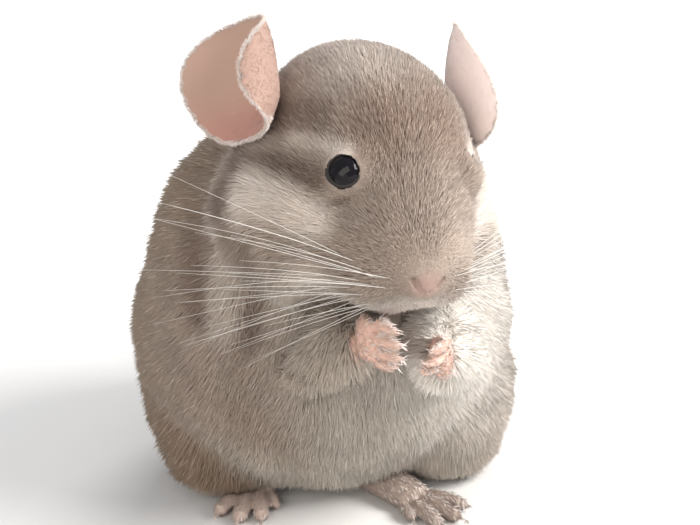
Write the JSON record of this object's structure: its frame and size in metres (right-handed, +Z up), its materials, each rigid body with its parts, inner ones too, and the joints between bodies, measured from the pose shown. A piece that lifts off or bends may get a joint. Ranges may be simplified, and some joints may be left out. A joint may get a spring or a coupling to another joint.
{
  "type": "chinchilla",
  "caption": "Life-size model of a young beige chinchilla sitting up on its haunches with its forepaws together under its chin and its bushy tail on the floor behind it.",
  "frame": {"origin": "on the floor, at the middle of the bounding box's underside", "axes": "+Z up, +Y towards the tail, so the animal faces -Y and its left side is +X"},
  "size_m": [0.1454, 0.2488, 0.1525],
  "materials": {
    "coat": "soft plush fur",
    "pale_coat": "soft plush fur",
    "bare_skin": "thin pink skin with short down",
    "eyes": "wet gloss"
  },
  "bodies": {
    "root": {"head": "coat", "eye_left": "eyes", "eye_right": "eyes", "ear_left": "bare_skin", "ear_right": "bare_skin", "whiskers_left": "pale_coat", "whiskers_right": "pale_coat", "neck": "coat", "torso": "coat", "haunch_left": "coat", "haunch_right": "coat", "forepaw_left": "bare_skin", "forepaw_right": "bare_skin", "foreleg_left": "pale_coat", "foreleg_right": "pale_coat", "hind_foot_left": "bare_skin", "hind_foot_right": "bare_skin", "tail_root": "coat", "tail_middle": "coat", "tail_tip": "coat"}
  },
  "joints": []
}
